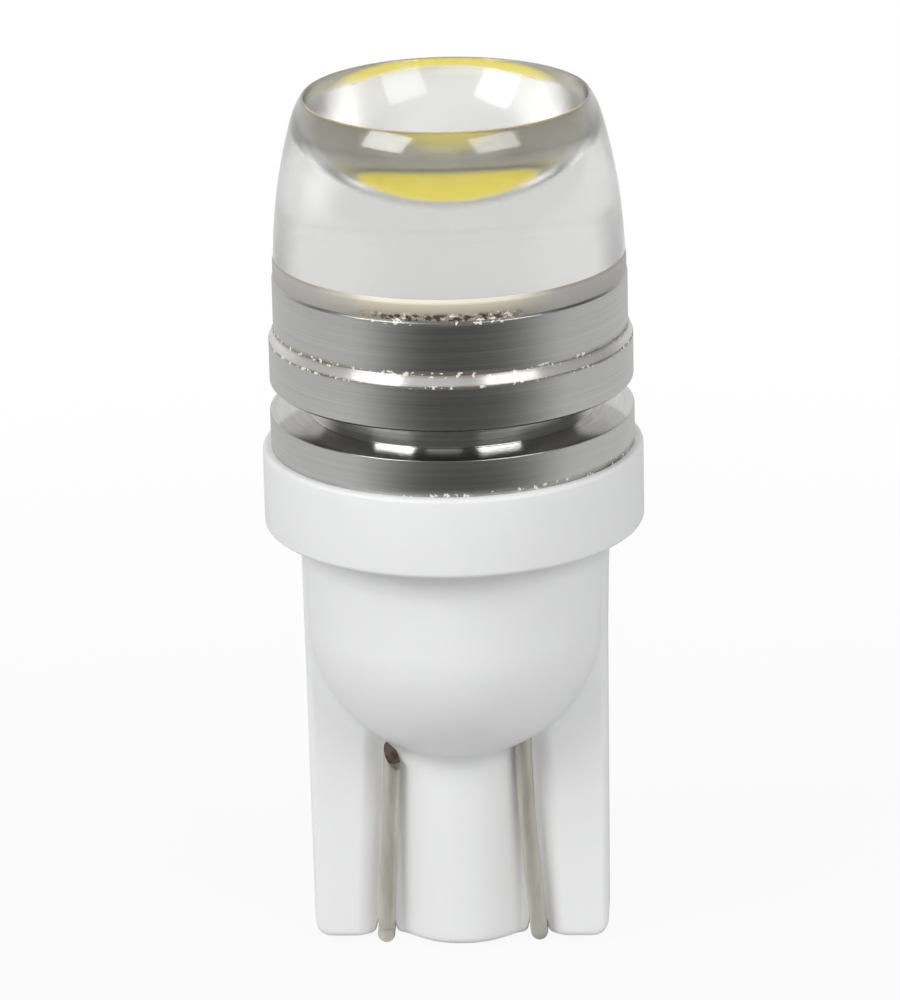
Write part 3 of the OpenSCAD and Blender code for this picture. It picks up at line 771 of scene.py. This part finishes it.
def grid_x():
    """Places across the blade, closer together at the notches and the edges."""
    notch_r = LEAD_D / 2 + LEAD_GAP
    even = np.linspace(0, BLADE_END_W / 2, 90)
    near = np.array([-0.2, -0.17, -0.12, -0.06, -0.02, -0.001, 0.001, 0.02, 0.06, 0.12])
    notch = np.concatenate([LEAD_X + notch_r - near, LEAD_X - notch_r + near])
    edge = BLADE_END_W / 2 - BLADE_EDGE * (1 - np.cos(np.linspace(0, math.pi / 2, 9)))
    corner = BLADE_END_W / 2 - BLADE_CORNER * (1 - np.sin(np.linspace(0, math.pi / 2, 12)))
    half = np.unique(np.round(np.concatenate([even, notch, edge, corner]), 4))
    return np.concatenate([-half[:0:-1], half])


def make_blade(looks):
    """The moulded blade: both faces as height fields that blend into the dome, and the strip between them."""
    across = grid_x()
    top = COLLAR_Z
    first = BLADE_EDGE * (1 - np.cos(np.linspace(0, math.pi / 2, 7)))
    up = np.concatenate([first / top, np.linspace(first[-1] / top, 1, 150)[1:]])
    base = end_height(across)
    z = base[None, :] + up[:, None] * (top - base[None, :])
    grow = (BLADE_END_W + (BLADE_ROOT_W - BLADE_END_W) * z / COLLAR_Z) / BLADE_END_W
    x = across[None, :] * grow
    face = blade_face(x, z)
    inset = np.clip(BLADE_EDGE - (BLADE_END_W / 2 - np.abs(across))[None, :], 0, BLADE_EDGE)
    face = face - (BLADE_EDGE - np.sqrt(BLADE_EDGE ** 2 - inset ** 2))
    rise = np.clip(BLADE_EDGE - (z - base[None, :]), 0, BLADE_EDGE)
    face = face - (BLADE_EDGE - np.sqrt(BLADE_EDGE ** 2 - rise ** 2))
    # The outermost place where the blended distance to blade and dome is zero
    down = np.minimum(z - DOME_Z, 0)
    core_r = DOME_R - SUNK + (NECK_R - DOME_R) * np.clip((z - DOME_Z) / NECK_H, 0, 1)
    low, high = np.full_like(x, 0.2), np.full_like(x, 2.2)
    for _ in range(30):
        y = (low + high) / 2
        to_dome = np.sqrt(x ** 2 + y ** 2 + down ** 2) - core_r
        to_blade = y - face
        inside = smooth_min(to_blade, to_dome, BLEND_DOME) < 0
        low, high = np.where(inside, y, low), np.where(inside, high, y)
    y = (low + high) / 2
    rows, columns = x.shape
    points = []
    for side in (-1, 1):
        points += list(zip(x.ravel(), (side * y).ravel(), z.ravel()))
    count = rows * columns
    faces = []
    for i in range(rows - 1):
        for j in range(columns - 1):
            a = i * columns + j
            quad = (a, a + 1, a + 1 + columns, a + columns)
            faces.append(quad)
            faces.append(tuple(count + k for k in reversed(quad)))
    for j in range(columns - 1):
        faces.append((j + 1, j, count + j, count + j + 1))
    for i in range(rows - 1):
        a, b = i * columns, (i + 1) * columns
        faces.append((a, b, count + b, count + a))
        a, b = a + columns - 1, b + columns - 1
        faces.append((b, a, count + a, count + b))
    return new_mesh("moulded_blade", points, faces, sharp_degrees=50)


def make_base(looks):
    """Collar, neck and dome as one turned form, and the blade."""
    low, high = low_high("base_shell")
    collar_r = high[0]
    collar_top = COLLAR_Z + COLLAR_H
    recess_r = low_high("base_glue")[1][0]
    recess_z = low_high("base_glue")[0][2]
    profile = [(0, recess_z), (recess_r, recess_z), (recess_r, collar_top)]
    profile += arc(collar_r - COLLAR_EDGE, collar_top - COLLAR_EDGE, COLLAR_EDGE, 90, 0, 6)
    profile += arc(collar_r - COLLAR_EDGE, COLLAR_Z + COLLAR_EDGE, COLLAR_EDGE, 0, -90, 6)
    profile += arc(NECK_R + NECK_FILLET, COLLAR_Z - NECK_FILLET, NECK_FILLET, 90, 180, 5)
    profile += arc(0, DOME_Z, DOME_R, 0, -90, 48)[:-1]
    profile += [(0, DOME_Z - DOME_R)]
    turned = revolve("moulded_collar", profile[::-1], sharp_degrees=35)
    blade = make_blade(looks)
    stand_for(turned, "base_shell", "white_plastic", looks)
    stand_for(blade, "base_shell", "white_plastic", looks)


def tube(name, path, radius, segments=28):
    """A round wire along a path of points, with flat ends."""
    path = [np.array(p, float) for p in path]
    points = []
    side = np.array([1.0, 0, 0])
    for i, p in enumerate(path):
        along = path[min(i + 1, len(path) - 1)] - path[max(i - 1, 0)]
        along /= np.linalg.norm(along)
        side = side - along * (side @ along)
        side /= np.linalg.norm(side)
        other = np.cross(along, side)
        for k in range(segments):
            a = 2 * math.pi * k / segments
            points.append(p + radius * (math.cos(a) * side + math.sin(a) * other))
    faces = []
    for i in range(len(path) - 1):
        for k in range(segments):
            n = (k + 1) % segments
            a, b = i * segments, (i + 1) * segments
            faces.append((a + k, a + n, b + n, b + k))
    last = (len(path) - 1) * segments
    faces.append(tuple(range(segments))[::-1])
    faces.append(tuple(range(last, last + segments)))
    return points, faces


def lead_path(sway):
    """Middle line of a lead wire in its own frame: long leg on -Y, bend, run, bend, short leg on +Y."""
    radius = LEAD_D / 2
    leg_y = GROOVE_FLOOR + radius
    bottom = radius - LEAD_DROP
    bend_z = bottom + LEAD_BEND_R
    top = low_high("lead_wire_left")[1][2]
    path = [(sway * math.sin(math.pi * np.clip((z - 2.2) / 4.4, -0.5, 1)), -leg_y, z)
            for z in np.linspace(top, bend_z, 60)]
    path += [(path[-1][0], -leg_y + LEAD_BEND_R * (1 - math.cos(a)), bend_z - LEAD_BEND_R * math.sin(a))
             for a in np.linspace(0, math.pi / 2, 10)[1:]]
    path += [(path[-1][0] * (1 - t), leg_y - LEAD_BEND_R - (2 * leg_y - 2 * LEAD_BEND_R) * (1 - t), bottom)
             for t in np.linspace(0, 1, 8)[1:]]
    path += [(0, leg_y - LEAD_BEND_R * math.cos(a), bend_z - LEAD_BEND_R * math.sin(a))
             for a in np.linspace(math.pi / 2, 0, 10)[1:]]
    path += [(0, leg_y, z) for z in np.linspace(bend_z, LEAD_CUT_Z - radius, 40)[1:]]
    return path


def make_lead(name, side, sway, looks):
    path = lead_path(sway)
    points, faces = tube(name, path, LEAD_D / 2)
    segments = len(points) // len(path)
    middle = np.array(path[-1])
    cut = np.array([-0.62, 0.55, 0.56])
    for k in range(1, segments + 1):
        off = points[-k] - middle
        points[-k] = points[-k] - np.array([0, 0, (off @ cut) / cut[2]])
    lean = Matrix.Rotation(math.radians(-LEAD_LEAN), 4, "Y")
    place = Matrix.Translation((LEAD_X, 0, 0)) @ lean
    if side < 0:
        place = Matrix.Rotation(math.pi, 4, "Z") @ place
    points = [place @ Vector(p) for p in points]
    piece = new_mesh(name, points, faces, sharp_degrees=40)
    node = "lead_wire_left" if side < 0 else "lead_wire_right"
    stand_for(piece, node, "lead_metal", looks)
    piece.data.materials.append(looks["lead_copper"])
    piece.data.polygons[len(piece.data.polygons) - 1].material_index = 1
    return piece


def make_camera():
    data = bpy.data.cameras.new("photo_camera")
    data.sensor_width = SENSOR_MM
    data.lens = FOCAL_PX * SENSOR_MM / max(PHOTO_W, PHOTO_H)
    data.clip_start = 0.01
    data.clip_end = 10.0
    camera = bpy.data.objects.new("photo_camera", data)
    bpy.context.scene.collection.objects.link(camera)
    azimuth = math.radians(CAMERA_AZIMUTH)
    rise = math.radians(CAMERA_ELEVATION)
    out = Vector((math.cos(rise) * math.sin(azimuth), -math.cos(rise) * math.cos(azimuth), math.sin(rise)))
    aim = Vector((-AIM_LEFT, 0, AIM_HEIGHT)) * MM
    camera.location = aim + out * CAMERA_DISTANCE * MM
    look = (-out).to_track_quat("-Z", "Y").to_matrix().to_4x4()
    roll = Matrix.Rotation(-math.radians(CAMERA_ROLL), 4, "Z")
    camera.matrix_world = Matrix.Translation(camera.location) @ look @ roll
    bpy.context.scene.camera = camera


def soft_light(name, place, size, power, tint=(1, 1, 1)):
    data = bpy.data.lights.new(name, "AREA")
    data.shape = "RECTANGLE"
    data.size, data.size_y = size
    data.energy = power
    data.color = tint
    lamp = bpy.data.objects.new(name, data)
    bpy.context.scene.collection.objects.link(lamp)
    lamp.location = place
    towards = Vector((0, 0, 0.014)) - Vector(place)
    lamp.rotation_euler = towards.to_track_quat("-Z", "Y").to_euler()
    return lamp


def make_world():
    """White to the camera, grey through the lens, and dark behind the camera in reflections."""
    world = bpy.data.worlds.new("studio")
    bpy.context.scene.world = world
    world.use_nodes = True
    tree = world.node_tree
    tree.nodes.clear()

    def add(kind, **values):
        node = tree.nodes.new(kind)
        for key, value in values.items():
            setattr(node, key, value)
        return node

    def background(level):
        node = add("ShaderNodeBackground")
        node.inputs["Color"].default_value = (level, level, level, 1)
        return node

    output = add("ShaderNodeOutputWorld")
    rays = add("ShaderNodeLightPath")
    direction = add("ShaderNodeTexCoord")
    parts = add("ShaderNodeSeparateXYZ")
    tree.links.new(direction.outputs["Generated"], parts.inputs["Vector"])
    dark_front = add("ShaderNodeMapRange", interpolation_type="SMOOTHSTEP")
    for name, value in zip(("From Min", "From Max", "To Min", "To Max"), REFLECTED_ROOM):
        dark_front.inputs[name].default_value = value
    backward = add("ShaderNodeVectorMath", operation="DOT_PRODUCT")
    backward.inputs[1].default_value = BACKWARD
    tree.links.new(direction.outputs["Generated"], backward.inputs[0])
    tree.links.new(backward.outputs["Value"], dark_front.inputs["Value"])
    mirrored = background(1.0)
    tree.links.new(dark_front.outputs["Result"], mirrored.inputs["Color"])
    pale_front = add("ShaderNodeValToRGB")
    steps = pale_front.color_ramp.elements
    while len(steps) < len(ROOM_THROUGH):
        steps.new(0.5)
    for step, (at, level) in zip(steps, ROOM_THROUGH):
        step.position = at
        step.color = (level / FRONT_THROUGH, level / FRONT_THROUGH, level / FRONT_THROUGH, 1)
    tree.links.new(parts.outputs["Y"], pale_front.inputs["Fac"])
    refracted = background(1.0)
    refracted.inputs["Strength"].default_value = FRONT_THROUGH
    tree.links.new(pale_front.outputs["Color"], refracted.inputs["Color"])
    shown = background(SOFT_ROOM).outputs["Background"]
    for ray, back in (("Is Glossy Ray", mirrored), ("Is Transmission Ray", refracted),
                      ("Is Camera Ray", background(1.0))):
        mixed = add("ShaderNodeMixShader")
        tree.links.new(rays.outputs[ray], mixed.inputs["Fac"])
        tree.links.new(shown, mixed.inputs[1])
        tree.links.new(back.outputs["Background"], mixed.inputs[2])
        shown = mixed.outputs["Shader"]
    tree.links.new(shown, output.inputs["Surface"])


def make_floor():
    """A pale floor that the camera sees as white, apart from a soft shadow round the bulb."""
    floor_z = CAD_BOX[0][2] / MM
    floor = revolve("floor", [(0, floor_z), (900, floor_z)], segments=96)
    look = Look("floor")
    look.set(Base_Color=(*FLOOR_COLOUR, 1), Roughness=0.9)

    def glow(colour):
        node = look.add("ShaderNodeEmission")
        if isinstance(colour, float):
            node.inputs["Color"].default_value = (colour, colour, colour, 1)
        else:
            look.join(colour, node.inputs["Color"])
        return node.outputs["Emission"]

    def blend(share, a, b):
        node = look.add("ShaderNodeMixShader")
        look.join(share, node.inputs["Fac"])
        look.join(a, node.inputs[1])
        look.join(b, node.inputs[2])
        return node.outputs["Shader"]

    away = look.radius()
    paper = look.shader.outputs["BSDF"]
    rays = look.add("ShaderNodeLightPath")
    unit = look.add("ShaderNodeVectorMath", operation="NORMALIZE")
    look.join(look.place(), unit.inputs[0])
    backward = look.add("ShaderNodeVectorMath", operation="DOT_PRODUCT")
    backward.inputs[1].default_value = BACKWARD
    look.join(unit.outputs["Vector"], backward.inputs[0])
    room = look.add("ShaderNodeMapRange", interpolation_type="SMOOTHSTEP")
    for name, value in zip(("From Min", "From Max", "To Min", "To Max"), REFLECTED_FLOOR):
        room.inputs[name].default_value = value
    look.join(backward.outputs["Value"], room.inputs["Value"])
    # Painted light seen only through the lens: glowing strips either side of the middle near the bulb, and a pool
    # of light behind
    aside = look.aside()
    bright = look.spread(aside, GREY_STRIP[0], GREY_STRIP[1], 0.0, 1.0)
    bright = look.math("MULTIPLY", bright, look.spread(aside, PALE_STRIP[0], PALE_STRIP[1], 1.0, 0.0))
    bright = look.math("MULTIPLY", bright, look.spread(away, NEAR_FLOOR[0], NEAR_FLOOR[1], 1.0, 0.0))
    patch = look.add("ShaderNodeVectorMath", operation="DISTANCE")
    look.join(look.place(), patch.inputs[0])
    patch.inputs[1].default_value = [v * MM for v in PALE_PATCH]
    pale = look.spread(look.math("MULTIPLY", patch.outputs["Value"], 1 / MM), *PATCH_REACH, 0.9, 0.0)
    through = look.spread(look.math("MAXIMUM", bright, pale), 0.0, 1.0, SEEN_THROUGH, 1.0)
    shown = blend(rays.outputs["Is Glossy Ray"], paper, glow(room.outputs["Result"]))
    shown = blend(rays.outputs["Is Transmission Ray"], shown, glow(through))
    white = blend(look.spread(away, 10, 60, 0.92, 1.0), paper, glow(1.0))
    shown = blend(rays.outputs["Is Camera Ray"], shown, white)
    look.join(shown, look.output.inputs["Surface"])
    dress(floor, look.material)


def make_lights():
    """Two small softboxes, left and right of the camera, and a weak one above it."""
    for name, azimuth, rise, size, radiance in SOFTBOXES:
        a, e = math.radians(azimuth), math.radians(rise)
        place = Vector((math.sin(a) * math.cos(e), -math.cos(a) * math.cos(e), math.sin(e))) * SOFTBOX_AWAY
        power = radiance * math.pi * size[0] * size[1]
        lamp = soft_light(name, place, size, power)
        lamp.visible_transmission = False


def main():
    bpy.context.scene.view_settings.view_transform = "Standard"
    make_camera()
    make_world()
    make_floor()
    make_lights()
    looks = make_looks()
    dress_nodes(looks)
    make_lens(looks)
    make_seam(looks)
    make_turned_body(looks)
    make_base(looks)
    make_lead("bent_lead_left", -1, 0.0, looks)
    make_lead("bent_lead_right", 1, -0.05, looks)


main()
